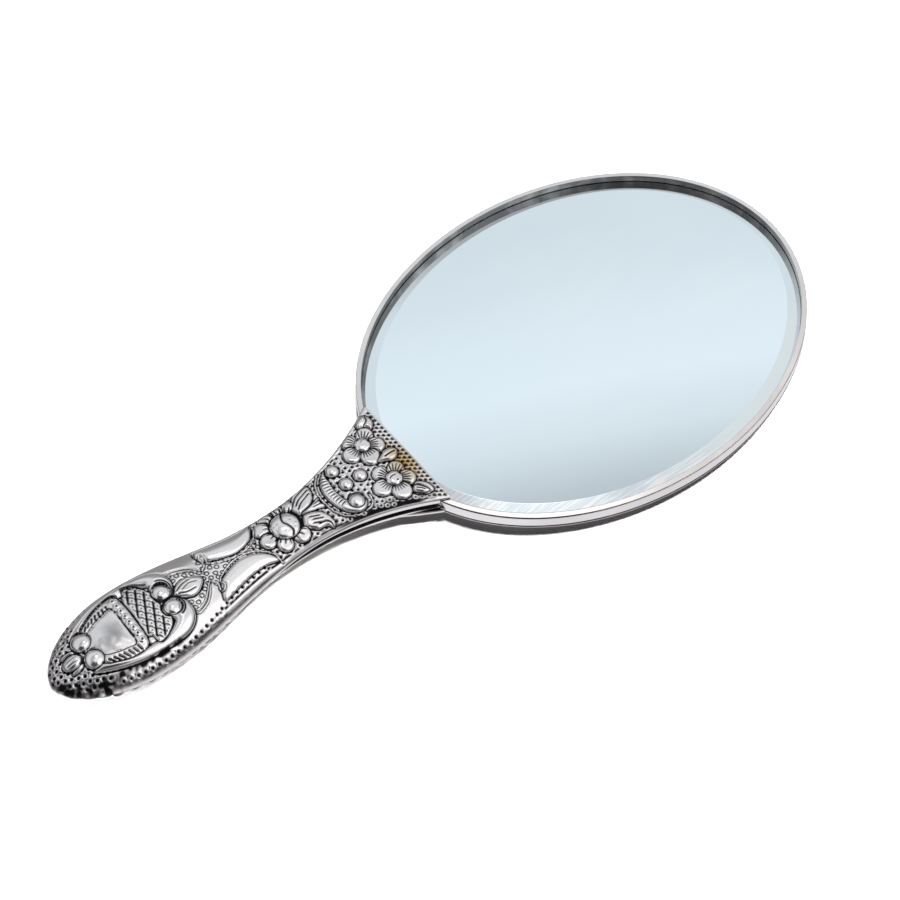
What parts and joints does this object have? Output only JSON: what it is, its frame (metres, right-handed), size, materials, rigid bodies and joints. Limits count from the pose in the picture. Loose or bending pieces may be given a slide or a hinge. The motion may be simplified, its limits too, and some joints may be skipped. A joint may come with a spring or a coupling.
{
  "type": "hand mirror",
  "caption": "Ornate silver hand mirror with an oval bevelled glass in a plain bezel and a waisted handle embossed with flowers, scrolls and a blank shield.",
  "frame": {"origin": "under the middle of the whole mirror, on the surface that it lies on, glass up", "axes": "+Y from the handle's tail to the head, +Z out of the glass, +X across"},
  "size_m": [0.12, 0.28, 0.0136],
  "materials": {
    "silver": "polished silver with fine wear scratches",
    "oxidised_silver": "polished high points over black tarnish in the hollows",
    "mirror": "bevelled glass, silvered on its back",
    "card": "grey-brown pasteboard",
    "pitch": "dark pitch and plaster filling",
    "steel": "plain steel bar and strip"
  },
  "bodies": {
    "root": {"bezel_ring": "silver", "rim_band": "silver", "seam_strip_left": "silver", "seam_strip_right": "silver", "mirror_glass": "mirror", "glass_backing_card": "card", "head_filler": "pitch", "handle_filler": "pitch", "back_plate": "oxidised_silver", "handle_front_shell": "oxidised_silver", "handle_back_shell": "oxidised_silver", "tang_rod": "steel", "tang_yoke": "steel"}
  },
  "joints": []
}
